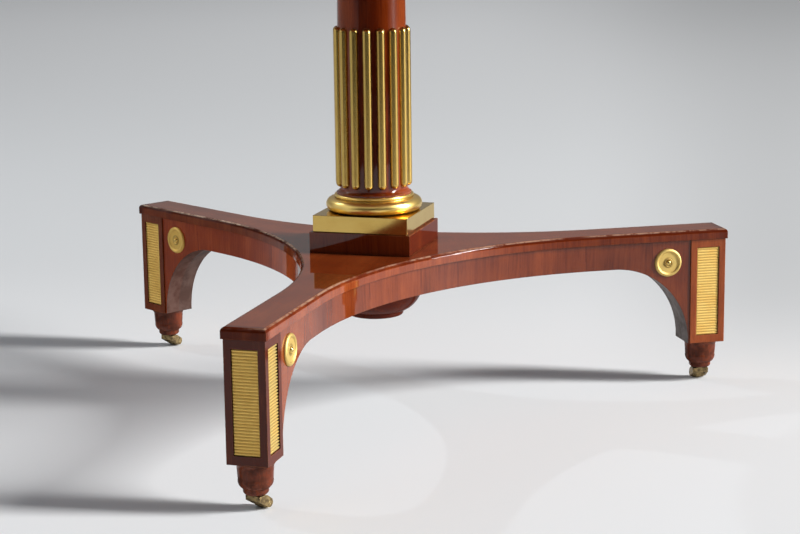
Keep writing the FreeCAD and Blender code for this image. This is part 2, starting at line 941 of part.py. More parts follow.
def flute_rods():
    """Round-ended brass rods lying in the flutes."""
    body = new_body("flute_rods")
    first = turned_off_axis(body, "Revolution", s.rod_centre_radius, rod_outline(dim(0)))
    around(body, first, s.rod_count)
    return keep(turn_rods(body), "flute_rods")


def necking_ring():
    """Small brass roll on the shoulder of the shaft's neck."""
    bore = s.shaft_neck_radius + s.glue_gap
    inner = s.necking_radius - s.necking_tube
    body = turned(
        "necking_ring",
        [
            (bore, 0),
            (inner, 0),
            (s.necking_radius, s.necking_tube, QUARTER),
            (inner, s.necking_tube * 2, QUARTER),
            (bore, s.necking_tube * 2),
        ],
    )
    return keep(place(body, z=neck_bottom), "necking_ring")


def capital():
    """Turned cushion that spreads from the neck to the abacus."""
    bore = s.tenon_radius + s.glue_gap
    body = turned(
        "capital",
        [
            (bore, 0),
            (s.capital_low_radius, 0),
            (s.capital_low_radius, s.capital_lip),
            (s.capital_high_radius, s.capital_height - s.capital_lip, FULL_CURVE),
            (s.capital_high_radius, s.capital_height),
            (bore, s.capital_height),
        ],
    )
    return keep(place(body, z=shaft_top), "capital")


def abacus():
    """Square block between the capital and the bearer."""
    body = new_body("abacus")
    outline = new_sketch(body, "XY_Plane")
    square(outline, s.abacus_width)
    pad(body, outline, s.abacus_thick)
    bore = new_sketch(body, "XY_Plane")
    circle(bore, s.tenon_radius + s.glue_gap)
    pocket(body, bore, both_sides=True)
    return keep(place(body, z=abacus_bottom), "abacus")


# Top


def screw_spots():
    """The four places of the bearer's screws, on its diagonals."""
    reach = s.screw_reach * math.sqrt(0.5)
    return [(reach * a, reach * b) for a in (-1, 1) for b in (-1, 1)]


def bearer():
    """Bevelled square board that joins the column to the top, with a well for the upper nut."""
    body = new_body("bearer")
    outline = new_sketch(body, "XY_Plane")
    square(outline, s.bearer_width)
    board = pad(body, outline, s.bearer_thick)
    doc.recompute()
    low_edges = [
        f"Edge{i}"
        for i, edge in enumerate(board.Shape.Edges, start=1)
        if edge.BoundBox.ZMax < s.bearer_thick.number / 2
    ]
    chamfer = body.newObject("PartDesign::Chamfer", "Chamfer")
    chamfer.Base = (board, low_edges)
    bind(chamfer, "Size", s.bearer_bevel)
    bore = new_sketch(body, "XY_Plane")
    circle(bore, s.tenon_radius + s.glue_gap)
    pocket(body, bore, both_sides=True)
    well = new_sketch(body, "XY_Plane")
    circle(well, s.washer_radius + s.end_float)
    bind(well, "AttachmentOffset.Base.z", s.bearer_thick)
    pocket(body, well, s.bearer_well_deep)
    for radius, depth in (
        (s.screw_radius + s.glue_gap, None),
        (s.screw_head_radius + s.glue_gap, s.screw_sink + s.screw_head_thick),
    ):
        holes = new_sketch(body, "XY_Plane")
        for x, y in screw_spots():
            circle(holes, radius, x, y)
        pocket(body, holes, depth, upward=True)
    return keep(place(body, z=bearer_bottom), "bearer")


def bearer_screws():
    """Four screws up through the bearer into the top."""
    body = new_body("bearer_screws")
    head_low = bearer_bottom + s.screw_sink
    head_high = head_low + s.screw_head_thick
    centre = s.screw_reach
    first = turned_off_axis(
        body,
        "Revolution",
        centre,
        [
            (centre, head_low),
            (centre + s.screw_head_radius, head_low),
            (centre + s.screw_head_radius, head_high),
            (centre + s.screw_radius, head_high),
            (centre + s.screw_radius, top_bottom + s.screw_bite),
            (centre, top_bottom + s.screw_bite),
        ],
    )
    spots = screw_spots()
    around(body, first, len(spots))
    return keep(place(body, leg=180 / len(spots)), "bearer_screws")


def table_top():
    """Round board with blind holes for the bearer's screws."""
    body = new_body("table_top")
    disc = new_sketch(body, "XY_Plane")
    circle(disc, s.top_radius - s.rim_thick - s.glue_gap)
    pad(body, disc, s.top_thick)
    holes = new_sketch(body, "XY_Plane")
    for x, y in screw_spots():
        circle(holes, s.screw_radius + s.thread_gap, x, y)
    pocket(body, holes, s.screw_bite + s.thread_gap, upward=True)
    return keep(place(body, z=top_bottom), "table_top")


def top_rim():
    """Brass band round the edge of the top."""
    inner = s.top_radius - s.rim_thick
    shoulder = s.top_radius - s.rim_round
    body = turned(
        "top_rim",
        [
            (inner, 0),
            (shoulder, 0),
            (s.top_radius, s.rim_round, QUARTER),
            (s.top_radius, s.top_thick - s.rim_round),
            (shoulder, s.top_thick, QUARTER),
            (inner, s.top_thick),
        ],
    )
    return keep(place(body, z=top_bottom), "top_rim")


# Tie rod


def tie_rod_set():
    """Iron rod through the column, with a washer and a nut at each end."""
    low_washer = frieze_bottom - s.washer_thick
    low_nut = low_washer - s.nut_tall
    high_nut = well_floor + s.washer_thick
    bottom = low_nut - s.tie_tail
    top = high_nut + s.nut_tall
    keep(rod(s.tie_radius, top - bottom, 0, 0, bottom), "tie_rod")
    washers = [
        cut(
            rod(s.washer_radius, s.washer_thick, 0, 0, z),
            rod(s.tie_radius + s.glue_gap, s.washer_thick, 0, 0, z),
        )
        for z in (low_washer, well_floor)
    ]
    nuts = []
    for z in (low_nut, high_nut):
        prism = doc.addObject("Part::Prism", "Prism")
        prism.Polygon = 6
        bind(prism, "Circumradius", s.nut_circle)
        bind(prism, "Height", s.nut_tall)
        place(prism, z=z)
        nuts.append(cut(prism, rod(s.tie_radius + s.thread_gap, s.nut_tall, 0, 0, z)))
    group("rod_washers", *washers)
    group("rod_nuts", *nuts)


platform_top()
for leg, leg_angle in LEGS.items():
    arm(leg, leg_angle)
    leg_post(leg, leg_angle)
    ribbed_panel(f"panel_{leg}_end", leg_angle, s.post_reach, 0, 0)
    ribbed_panel(f"panel_{leg}_a", leg_angle, leg_axis, s.post_width / 2, 90)
    ribbed_panel(f"panel_{leg}_b", leg_angle, leg_axis, s.post_width / -2, -90)
    roundel(f"roundel_{leg}_a", leg_angle, 1)
    roundel(f"roundel_{leg}_b", leg_angle, -1)
    foot(leg, leg_angle)
    caster_stem(leg, leg_angle)
    caster_fork(leg, leg_angle)
    caster_wheel(leg, leg_angle)
    caster_axle(leg, leg_angle)
pendant_boss()
plinth_block()
plinth_shell()
base_ring()
column_shaft()
flute_rods()
necking_ring()
capital()
abacus()
bearer()
bearer_screws()
table_top()
top_rim()
tie_rod_set()

doc.recompute()
for item in doc.Objects:
    if "Invalid" in item.State or "Error" in item.State:
        raise RuntimeError(f"{item.Label} failed: {item.State}")
for node in nodes:
    if node.Shape.isNull() or not node.Shape.isValid():
        raise RuntimeError(f"{node.Label} has no valid shape")

os.makedirs("parts", exist_ok=True)
for node in nodes:
    node.Shape.exportStep(f"parts/{node.Label}.step")
    print(node.Label, len(node.Shape.Solids), round(node.Shape.Volume))
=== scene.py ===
# %% [markdown]
# # A tripod table, dressed for the studio
# The table is a round top on a fluted column, which stands on a three-armed mahogany platform with
# gilt brass mounts and small casters. Every piece was built in CAD with its real shape and size, so
# this lesson is about finish: polished wood, old gilding, worn edges, and the light that shows them.
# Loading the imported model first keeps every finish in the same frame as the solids, in metres.

# %% Load the table
import math
import bmesh
import bpy
from mathutils import Matrix, Vector


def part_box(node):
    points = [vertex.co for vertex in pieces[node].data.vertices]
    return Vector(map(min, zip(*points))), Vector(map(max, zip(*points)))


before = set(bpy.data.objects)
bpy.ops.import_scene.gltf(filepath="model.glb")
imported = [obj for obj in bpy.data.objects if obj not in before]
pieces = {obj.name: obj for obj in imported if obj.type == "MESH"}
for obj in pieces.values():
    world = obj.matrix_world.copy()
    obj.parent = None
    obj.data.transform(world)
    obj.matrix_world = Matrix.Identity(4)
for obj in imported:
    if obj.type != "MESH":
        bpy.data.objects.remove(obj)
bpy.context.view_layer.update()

# %% [markdown]
# The three legs are the same leg turned about the column, and many finishes need to know which way a
# leg points: the veneer runs along it or up it. The angles are kept once, by the legs' names.
# The faces of a post are measured on the model itself, and are used wherever a finish follows a shape.

# %% Directions and sizes of the table
LEG_ANGLES = {"front": -90.0, "right": 30.0, "left": 150.0}
post_low, post_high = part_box("leg_post_front")
END_FACE = -post_low.y
SIDE_FACE = post_high.x
print("leg ends at", round(END_FACE, 4), "m, side of a post at", round(SIDE_FACE, 4), "m")

# %% [markdown]
# A shader is easier to read as arithmetic than as a web of nodes. This small class wraps one output
# of a node, and its operators add Math nodes, so that `1 - mask` or `tone * 0.4` builds the graph.

# %% Wires
class Wire:
    """One output of a shader node. Arithmetic with it adds Math nodes to the same tree."""

    def __init__(self, tree, socket):
        self.tree = tree
        self.socket = socket

    def math(self, operation, *values, clamp=False):
        settings = {"operation": operation, "use_clamp": clamp}
        return add_node(self.tree, "ShaderNodeMath", settings, dict(enumerate(values)))

    def __add__(self, other):
        return self.math("ADD", self, other)

    def __radd__(self, other):
        return self.math("ADD", other, self)

    def __sub__(self, other):
        return self.math("SUBTRACT", self, other)

    def __rsub__(self, other):
        return self.math("SUBTRACT", other, self)

    def __mul__(self, other):
        return self.math("MULTIPLY", self, other)

    def __rmul__(self, other):
        return self.math("MULTIPLY", other, self)

    def __truediv__(self, other):
        return self.math("DIVIDE", self, other)

    def __rtruediv__(self, other):
        return self.math("DIVIDE", other, self)

    def __pow__(self, other):
        return self.math("POWER", self, other)

    def __rpow__(self, other):
        return self.math("POWER", other, self)

    def __abs__(self):
        return self.math("ABSOLUTE", self)

    def clamped(self):
        return self.math("ADD", self, 0.0, clamp=True)

    def larger(self, other):
        return self.math("MAXIMUM", self, other)

    def above(self, other):
        return self.math("GREATER_THAN", self, other)

    def floored(self):
        return self.math("FLOOR", self)

    def step(self, low, high):
        """Goes smoothly from 0 at low to 1 at high, and works downhill too."""
        settings = {"interpolation_type": "SMOOTHSTEP"}
        if low < high:
            ends = {"From Min": low, "From Max": high, "To Min": 0.0, "To Max": 1.0}
        else:
            ends = {"From Min": high, "From Max": low, "To Min": 1.0, "To Max": 0.0}
        return add_node(self.tree, "ShaderNodeMapRange", settings, {"Value": self, **ends})

    def band(self, start, full, fade, end):
        """Is 1 from full to fade, and 0 before start and after end."""
        return self.step(start, full) * self.step(end, fade)


print("wires ready")

# %% [markdown]
# Any other node comes from `add_node`, which sets the options first, because they decide which
# sockets the node has, and then fills the sockets with numbers, colours or wires. It gives back the
# wanted output as a wire, or nothing for the last node of a tree, which has no outputs.

# %% Nodes
def find_socket(sockets, key):
    """A socket by its number, or by its name among those in use."""
    if isinstance(key, int):
        return sockets[key]
    return next(socket for socket in sockets if socket.name == key and socket.enabled)


def set_stops(ramp, wanted):
    """Gives a colour ramp its stops, each a place from 0 to 1 and a colour."""
    while len(ramp.elements) < len(wanted):
        ramp.elements.new(0.5)
    for stop, (place, colour) in zip(ramp.elements, wanted):
        stop.position = place
        stop.color = (*colour, 1.0)


def add_node(tree, kind, settings=None, inputs=None, output=0):
    """Adds a node with its settings first and then its sockets, and returns one of its outputs."""
    node = tree.nodes.new(kind)
    for name, value in (settings or {}).items():
        if name == "stops":
            set_stops(node.color_ramp, value)
        else:
            setattr(node, name, value)
    for key, value in (inputs or {}).items():
        socket = find_socket(node.inputs, key)
        if isinstance(value, Wire):
            tree.links.new(value.socket, socket)
        elif socket.type == "RGBA":
            socket.default_value = (*value, 1.0)
        else:
            socket.default_value = value
    if not node.outputs:
        return None
    return Wire(tree, find_socket(node.outputs, output))


print("nodes ready")

# %% [markdown]
# Colours and vectors need their own nodes, because a Math node would turn a colour grey. `blend`
# lays one colour over another through a mask, and `choose` does the same with two vectors.

# %% Colours and vectors
def blend(tree, mask, under, over, mode="MIX"):
    """One colour laid over another where the mask is 1."""
    settings = {"data_type": "RGBA", "blend_type": mode, "clamp_factor": True}
    return add_node(tree, "ShaderNodeMix", settings, {"Factor": mask, "A": under, "B": over}, "Result")


def choose(tree, mask, first, second):
    """The first vector where the mask is 0, and the second where it is 1."""
    settings = {"data_type": "VECTOR"}
    return add_node(tree, "ShaderNodeMix", settings, {"Factor": mask, "A": first, "B": second}, "Result")


def vector_math(tree, operation, first, second, output="Vector"):
    """A sum, a product or another operation on two vectors."""
    return add_node(tree, "ShaderNodeVectorMath", {"operation": operation}, {0: first, 1: second}, output)


def parts_of(tree, vector):
    """The three coordinates of a vector, as wires."""
    split = add_node(tree, "ShaderNodeSeparateXYZ", None, {"Vector": vector})
    return [Wire(tree, output) for output in split.socket.node.outputs]


def grey(value):
    """The same value three times, as a grey or as a vector."""
    return (value, value, value)


print("blends ready")

# %% [markdown]
# A pattern is read at a place. Object coordinates are used throughout: they are the table's own
# metres, they stay with a piece when it moves, and a pattern runs on across a corner unbroken.
# `turned` turns a place or a direction about the column, so that one recipe serves all three legs.

# %% Places, directions and noise
def place_of(tree):
    """The place on the table, in its own metres."""
    return add_node(tree, "ShaderNodeTexCoord", None, None, "Object")


def facing_of(tree):
    """The direction that the surface faces."""
    return add_node(tree, "ShaderNodeNewGeometry", None, None, "Normal")


def turned(tree, vector, angle):
    """A vector turned so that x points along a plan angle in degrees and y across it."""
    settings = {"rotation_type": "Z_AXIS"}
    values = {"Vector": vector, "Angle": -math.radians(angle)}
    return add_node(tree, "ShaderNodeVectorRotate", settings, values)


def turned_place(tree, angle):
    """The place on the table, turned so that x runs out along a plan angle."""
    return turned(tree, place_of(tree), angle)


def moved(tree, place, x, y, z):
    """The place moved, so that a piece shows its own part of a pattern, as if cut from its own log."""
    return vector_math(tree, "ADD", place, (x, y, z))


def noise(tree, place, scale, detail=2.0, roughness=0.5):
    """Noise with about so many waves in a metre as its scale says."""
    values = {"Vector": place, "Scale": scale, "Detail": detail, "Roughness": roughness}
    return add_node(tree, "ShaderNodeTexNoise", {"noise_dimensions": "3D"}, values)


def spots(tree, place, scale, detail, roughness, low, high):
    """A mask of soft spots, from 0 where the noise is low to 1 where it is high."""
    return noise(tree, place, scale, detail, roughness).step(low, high)


print("places and noise ready")

# %% [markdown]
# Two masks tell a finish about the shape under it. The Bevel node looks round the point for an edge,
# so the difference between its rounded normal and the true one marks the arrises, where hands and
# dusters wear the colour off. Ambient Occlusion marks the inner corners: on the wood, shade is painted
# there, and on the gilding, tarnish. Both could be painted by hand, but measured masks follow every
# edge of every piece at once.

# %% Masks from the shape
MASK_SAMPLES = 6
WEAR_STARTS = 0.004
WEAR_FULL = 0.16


def worn_edges(tree, width):
    """A mask of the edges, and the surface's direction with those edges rounded."""
    rounded = add_node(tree, "ShaderNodeBevel", {"samples": MASK_SAMPLES}, {"Radius": width})
    agreement = vector_math(tree, "DOT_PRODUCT", rounded, facing_of(tree), "Value")
    return (1.0 - agreement).step(WEAR_STARTS, WEAR_FULL), rounded


def inner_corners(tree, reach):
    """A mask of the places that other surfaces within reach stand over."""
    settings = {"samples": MASK_SAMPLES, "only_local": False}
    return 1.0 - add_node(tree, "ShaderNodeAmbientOcclusion", settings, {"Distance": reach}, "AO")


print("edge and corner masks ready")

# %% [markdown]
# Every finish ends in one Principled shader. What is the same all over is set straight on the
# shader's socket, and only what changes over the surface is wired.

# %% A finish and how it is laid on
def new_finish(name):
    finish = bpy.data.materials.new(name)
    finish.use_nodes = True
    finish.node_tree.nodes.clear()
    return finish, finish.node_tree


def relief(tree, height, strength, depth, rounded=None):
    """The surface's direction with fine relief in it, over rounded edges if they are given."""
    values = {"Strength": strength, "Distance": depth, "Height": height}
    if rounded is not None:
        values["Normal"] = rounded
    return add_node(tree, "ShaderNodeBump", None, values)


def close_finish(finish, values):
    """Joins the values and wires to a Principled shader, the last one of every finish."""
    tree = finish.node_tree
    shader = add_node(tree, "ShaderNodeBsdfPrincipled", None, values, "BSDF")
    add_node(tree, "ShaderNodeOutputMaterial", None, {"Surface": shader})
    return finish


def lay_on(finish, *names):
    """Gives the finish to these pieces in place of the plain one that they came with."""
    for name in names:
        slots = pieces[name].data.materials
        slots.clear()
        slots.append(finish)


print("finishes end in one Principled shader")

# %% [markdown]
# ## French-polished mahogany
# The wood is old mahogany, red brown, with fibres a millimetre or two wide, darker and lighter bands
# from the way the leaf was cut, and fine open pores. The place is stretched along the grain before
# most of the noise is read, so round blobs become long fibres, and it drifts a little from side to
# side, because no grain is straight. A flat brown would look like plastic at any distance.

# %% Colours and fibres of mahogany
WOOD_DARK = (0.078, 0.0105, 0.0024)
WOOD_RED = (0.188, 0.0345, 0.0075)
WOOD_LIGHT = (0.315, 0.0740, 0.0180)
WOOD_WORN = (0.480, 0.1900, 0.0850)
WOOD_CHIPPED = (0.540, 0.3500, 0.2400)
# A dark colour used both for real stains on bare wood and for painted shade in inner corners.
WOOD_GRIME_AND_SHADE = (0.016, 0.0050, 0.0030)
WOOD_BARE = (0.130, 0.1050, 0.0950)
STRETCH = 0.045
ALONG_X = (STRETCH, 1.0, 1.0)
ALONG_Z = (1.0, 1.0, STRETCH)
DRIFT_SCALE = 7.0
DRIFT_REACH = 0.012
# Scale, detail, roughness and share in the tone: bands, streaks and threads.
GRAIN_LAYERS = [(55.0, 2.0, 0.5, 0.40), (380.0, 3.0, 0.6, 0.36), (1000.0, 3.0, 0.7, 0.24)]
FIGURE_SCALE = 26.0
FIGURE_SHARE = 0.28
TONE_START = -0.14
PORES = (2600.0, 1.0, 0.5, 0.60, 0.70)


def fibres(tree, board, along):
    """The tone of the wood from 0 dark to 1 light, and a mask of its pores, read along the grain."""
    values = {"Vector": board, "Scale": DRIFT_SCALE, "Detail": 1.0}
    drift = add_node(tree, "ShaderNodeTexNoise", None, values, "Color")
    drift = vector_math(tree, "SUBTRACT", drift, grey(0.5))
    drift = vector_math(tree, "MULTIPLY", drift, grey(DRIFT_REACH))
    laid = vector_math(tree, "MULTIPLY", vector_math(tree, "ADD", board, drift), along)
    tone = noise(tree, board, FIGURE_SCALE, 1.0) * FIGURE_SHARE + TONE_START
    for scale, detail, roughness, share in GRAIN_LAYERS:
        tone = tone + noise(tree, laid, scale, detail, roughness) * share
    return tone, spots(tree, laid, *PORES)


print("mahogany tones from", WOOD_DARK, "to", WOOD_LIGHT)

# %% [markdown]
# Shellac polish lies over the wood as a clear gloss, made here by the shader's coat. Long use has worn
# it: edges come out paler, chips show raw wood, and the gloss is thinner wherever that happened. The
# inner corners are painted dark, which is painted shade, and their polish is duller and rougher there.
# Wood that was never polished is dull and stained.
# One function does all of it, so that every wooden piece ages by the same rules.

# %% Polish and wear
TONE_STOPS = [(0.18, WOOD_DARK), (0.50, WOOD_RED), (0.84, WOOD_LIGHT)]
GLOSS = 0.9
ARRIS_WIDTH = 0.0016
CORNER_REACH = 0.010
CORNER_SHADE = (0.28, 0.85)
PORE_DEPTH = 0.00012
PORE_STRENGTH = 0.22
COAT_ROUGH = 0.03
COAT_IOR = 1.5
# Each kind of spot: scale, detail and roughness of its noise, and the range that the mask covers.
WORN_SPOTS = (75.0, 3.0, 0.65, 0.36, 0.62)
DULL_SPOTS = (75.0, 3.0, 0.65, 0.62, 0.80)
CHIPPED_STRETCHES = (13.0, 2.0, 0.5, 0.36, 0.52)
CHIPS = (110.0, 5.0, 0.75, 0.36, 0.56)
STAINS = (45.0, 4.0, 0.7, 0.35, 0.65)
COVER = {"pores": 0.45, "chips": 0.85, "corners": 0.75, "stains": 0.5, "bare": 0.95}
WOOD_ROUGH = 0.30
ROUGHER = {"tone": 0.14, "edges": 0.12, "corners": 0.20, "bare": 0.25}
DULLER = {"edges": 0.40, "corners": 0.50, "spots": 0.12, "bare": 0.75}


def polish_wood(finish, board, along, tone_shift=0.0, tint=None, gloss=GLOSS, edge_wear=0.5,
                chips=None, chipped=WOOD_CHIPPED, bare=None, bare_wood=WOOD_BARE):
    """Colours the wood by its fibres, wears its edges, paints shade in its corners and lays the polish.
    """
    tree = finish.node_tree
    tone, pores = fibres(tree, board, along)
    tone = tone + tone_shift
    colour = add_node(tree, "ShaderNodeValToRGB", {"stops": TONE_STOPS}, {"Fac": tone}, "Color")
    colour = blend(tree, pores * COVER["pores"], colour, WOOD_DARK)
    if tint is not None:
        colour = blend(tree, 1.0, colour, tint, "MULTIPLY")
    edges, rounded = worn_edges(tree, ARRIS_WIDTH)
    edges = edges * spots(tree, board, *WORN_SPOTS)
    colour = blend(tree, edges * edge_wear, colour, WOOD_WORN)
    if chips is not None:
        chips = chips * spots(tree, board, *CHIPPED_STRETCHES) * spots(tree, board, *CHIPS)
        colour = blend(tree, chips * COVER["chips"], colour, chipped)
        edges = edges.larger(chips)
    # Painted shade: inner corners, where other surfaces stand over the wood, are darkened.
    corners = inner_corners(tree, CORNER_REACH).step(*CORNER_SHADE)
    colour = blend(tree, corners * COVER["corners"], colour, WOOD_GRIME_AND_SHADE)
    rough = WOOD_ROUGH + tone * ROUGHER["tone"] + edges * ROUGHER["edges"] + corners * ROUGHER["corners"]
    coat = gloss - edges * DULLER["edges"] - corners * DULLER["corners"]
    coat = coat - spots(tree, board, *DULL_SPOTS) * DULLER["spots"]
    if bare is not None:
        stained = blend(tree, spots(tree, board, *STAINS) * COVER["stains"], bare_wood, WOOD_GRIME_AND_SHADE)
        colour = blend(tree, bare * COVER["bare"], colour, stained)
        rough = rough + bare * ROUGHER["bare"]
        coat = coat - bare * DULLER["bare"]
    normal = relief(tree, tone * 0.5 - pores * 0.5, PORE_STRENGTH, PORE_DEPTH, rounded)
    return close_finish(finish, {
        "Base Color": colour, "Roughness": rough.clamped(), "Normal": normal, "Specular IOR Level": 0.0,
        "Coat Weight": coat.clamped(), "Coat Roughness": COAT_ROUGH, "Coat IOR": COAT_IOR,
    })


print("gloss of the polish:", GLOSS)

# %% [markdown]
# The sides of the arms, called the frieze, are covered with leaves of veneer whose grain stands
# upright, laid side by side along the arm. White noise on the number of the leaf gives each its own
# tone, and some joints have opened to a dark hairline. One side of each arm has its own tone and the
# others share one; these side tones are painted light and shade, darkest on the right arm, which the
# soft box lights. That side of the left arm lies in shade, and is painted lighter and redder as
# painted light, with less gloss. The inside of the arch was never polished: it is bare wherever the
# surface doesn't face sideways from the arm. Its bare colour is painted light and shade: pale inside
# the right arch, which lies in shade, and dark inside the left one.

# %% Arms with upright leaves of veneer
LEAF_WIDTH = 0.088
LEAF_SHIFT = 7.3
LEAF_SPREAD = 0.17
JOINT_WIDTH = 0.0009
JOINT_DARKNESS = 0.5
OPEN_JOINTS = (35.0, 2.0, 0.5, 0.42, 0.58)
ARCH_FACING = (0.6, 0.4)
ARM_EDGE_WEAR = 0.25
# Painted light and shade: the tone of each arm's own side is set for the light that falls on it.
TONED_SIDE = {"front": 1.0, "right": -1.0, "left": 1.0}
SIDE_TONE = {"front": -0.16, "right": -0.23, "left": -0.04}
OTHER_TONE = -0.17
# Painted light: the left arm's own side, in shade, is lightened and reddened by this tint.
LIGHTENED_LEG = "left"
LIGHTENED_SIDE_GLOSS = 0.5
PAINTED_LIGHT_TINT = (1.9, 1.5, 1.3)
# Painted light and shade: bare wood pale inside the shaded right arch, dark inside the left.
ARCH_WOOD_LIT_AND_SHADED = {"front": WOOD_BARE, "right": (0.185, 0.165, 0.155), "left": (0.095, 0.060, 0.050)}

for leg, angle in LEG_ANGLES.items():
    finish, tree = new_finish("frieze_veneer_" + leg)
    board = turned_place(tree, angle)
    along_arm, across, up = parts_of(tree, board)
    count = along_arm / LEAF_WIDTH + across.above(0.0) * LEAF_SHIFT
    leaf = count.floored()
    from_joint = 0.5 - abs(count - leaf - 0.5)
    hairline = from_joint.step(JOINT_WIDTH / LEAF_WIDTH, 0.0) * spots(tree, board, *OPEN_JOINTS)
    chance = add_node(tree, "ShaderNodeTexWhiteNoise", {"noise_dimensions": "1D"}, {"W": leaf + angle})
    toned = (across * TONED_SIDE[leg]).above(0.0)
    tone = chance * LEAF_SPREAD - hairline * JOINT_DARKNESS
    tone = tone + toned * (SIDE_TONE[leg] - OTHER_TONE) + OTHER_TONE
    gloss, tint = GLOSS, None
    # Painted light on the shaded side of the left arm.
    if leg == LIGHTENED_LEG:
        gloss = toned * (LIGHTENED_SIDE_GLOSS - GLOSS) + GLOSS
        tint = blend(tree, toned, grey(1.0), PAINTED_LIGHT_TINT)
    arch = abs(parts_of(tree, turned(tree, facing_of(tree), angle))[1]).step(*ARCH_FACING)
    polish_wood(finish, moved(tree, board, angle, 0.0, 0.0), ALONG_Z, tone, tint, gloss, ARM_EDGE_WEAR,
                bare=arch, bare_wood=ARCH_WOOD_LIT_AND_SHADED[leg])
    lay_on(finish, "arm_" + leg)
print("leaves along each arm:", round(END_FACE / LEAF_WIDTH))

# %% [markdown]
# The posts at the ends of the arms are upright pieces and so is their grain; each was cut from
# another piece of wood and has its own tone, and the tones are also painted light and shade: the right
# post, which faces the soft box, lighter, and the front post, in shade, darker. The small turned feet
# below them are darker, with dull patches of dirt, because they stand where mops and dust reach them.

# %% Posts and turned feet
TONE_SPREAD = 0.1
POST_GLOSS = 0.55
POST_LOG = 0.3
POST_FIGURE = 30.0
# Painted light and shade: lighter on the lit right post, darker on the shaded front post.
POST_TONE_AND_LIGHT = {"front": -0.42, "right": 0.09, "left": -0.01}
FOOT_LOG = 0.6
FOOT_FIGURE = 120.0
FOOT_TONE = -0.20
FOOT_DIRT = (0.060, 0.042, 0.036)
DIRT_SPOTS = (90.0, 3.0, 0.6, 0.40, 0.60)
DIRT_COVER = 0.6

for leg, angle in LEG_ANGLES.items():
    finish, tree = new_finish("post_veneer_" + leg)
    board = moved(tree, turned_place(tree, angle), angle, POST_LOG, 0.0)
    tone = noise(tree, board, POST_FIGURE) * TONE_SPREAD + POST_TONE_AND_LIGHT[leg]
    polish_wood(finish, board, ALONG_Z, tone, gloss=POST_GLOSS)
    lay_on(finish, "leg_post_" + leg)
    finish, tree = new_finish("turned_foot_" + leg)
    board = moved(tree, turned_place(tree, angle), angle, FOOT_LOG, 0.0)
    tone = noise(tree, board, FOOT_FIGURE) * TONE_SPREAD + FOOT_TONE
    dirty = spots(tree, board, *DIRT_SPOTS) * DIRT_COVER
    polish_wood(finish, board, ALONG_Z, tone, gloss=POST_GLOSS, bare=dirty, bare_wood=FOOT_DIRT)
    lay_on(finish, "foot_" + leg)
print("posts and feet:", 2 * len(LEG_ANGLES))

# %% [markdown]
# The platform's slab has its grain along each arm, and the three directions meet under the plinth.
# The arm that a point belongs to is the one it reaches furthest along, so comparing the three turned
# coordinates picks the right grain.

# %% Which arm of the slab
SLAB_LOG = 1.0
finish, tree = new_finish("slab_veneer")
arm_places = {leg: turned_place(tree, angle) for leg, angle in LEG_ANGLES.items()}
reach = {leg: parts_of(tree, place)[0] for leg, place in arm_places.items()}
boards = {leg: moved(tree, place, LEG_ANGLES[leg], 0.0, SLAB_LOG) for leg, place in arm_places.items()}
on_right = reach["right"].above(reach["front"])
on_left = reach["left"].above(reach["front"].larger(reach["right"]))
board = choose(tree, on_right, boards["front"], boards["right"])
board = choose(tree, on_left, board, boards["left"])
print("slab grain runs along", len(boards), "arms")

# %% [markdown]
# The slope of the surface tells the slab's top from its rounded edge and its upright side. Feet have
# rubbed the rounding for longest, so its polish is thin and a pale, chipped line runs along it,
# brightest on the left arm, where the chips are painted near white, partly as a painted highlight
# along the arris. The rounding is also painted darker, which is painted shade for the dark reflection
# in it. The side is banded with upright grain. It is darker on the right arm and at the ends of the
# arms, and duller there and on the left arm.

# %% Slab
SLAB_FIGURE = 14.0
SLAB_SPREAD = 0.12
SLAB_TONE = -0.04
SLAB_TINT = (1.08, 1.04, 1.0)
SLAB_EDGE_WEAR = 0.2
# Partly painted highlight: the chips on the left arm's arris are near white.
LEFT_CHIPS_AND_HIGHLIGHT = (0.95, 0.74, 0.56)
OTHER_CHIPS = 0.62
DARKER = {"ends": 0.30, "rounding": 0.24, "right side": 0.24}
DULL_SIDE = {"ends": 0.7, "left": 0.6, "right": 0.5}
THIN_POLISH = 0.55
THINNER_IN_SPOTS = 0.40
CHIPPED_SLOPES = (0.64, 0.80, 0.972, 0.995)
ROUNDED_SLOPES = (0.10, 0.25, 0.95, 0.992)
UPRIGHT_SLOPES = (0.25, 0.10)
SIDE_SLOPES = (0.97, 0.85)
ARM_ENDS = (END_FACE - 0.013, END_FACE - 0.001)
RIGHT_ARM = (0.08, 0.24)
THIN_SPOTS = (60.0, 4.0, 0.7, 0.40, 0.60)

slope = parts_of(tree, facing_of(tree))[2]
rounding = slope.band(*ROUNDED_SLOPES)
side = slope.step(*SIDE_SLOPES)
ends = reach["front"].larger(reach["right"]).larger(reach["left"]).step(*ARM_ENDS)
right_arm = on_right * reach["right"].step(*RIGHT_ARM)
tone = noise(tree, board, SLAB_FIGURE) * SLAB_SPREAD + SLAB_TONE
# Painted shade: the rounding is darkened for the dark reflection that it shows.
tone = tone - ends * DARKER["ends"] - rounding * DARKER["rounding"]
tone = tone - right_arm * side * DARKER["right side"]
thin = rounding * (THIN_POLISH + spots(tree, board, *THIN_SPOTS) * THINNER_IN_SPOTS)
dull = (ends * DULL_SIDE["ends"]).larger(on_left * DULL_SIDE["left"])
dull = slope.step(*UPRIGHT_SLOPES) * dull.larger(right_arm * DULL_SIDE["right"])
gloss = 1.0 - thin - dull
chips = slope.band(*CHIPPED_SLOPES) * (OTHER_CHIPS + on_left * (1.0 - OTHER_CHIPS))
chipped = blend(tree, on_left, WOOD_CHIPPED, LEFT_CHIPS_AND_HIGHLIGHT)
along = choose(tree, side, ALONG_X, ALONG_Z)
polish_wood(finish, board, along, tone, SLAB_TINT, gloss, SLAB_EDGE_WEAR, chips, chipped)
lay_on(finish, "platform_top")
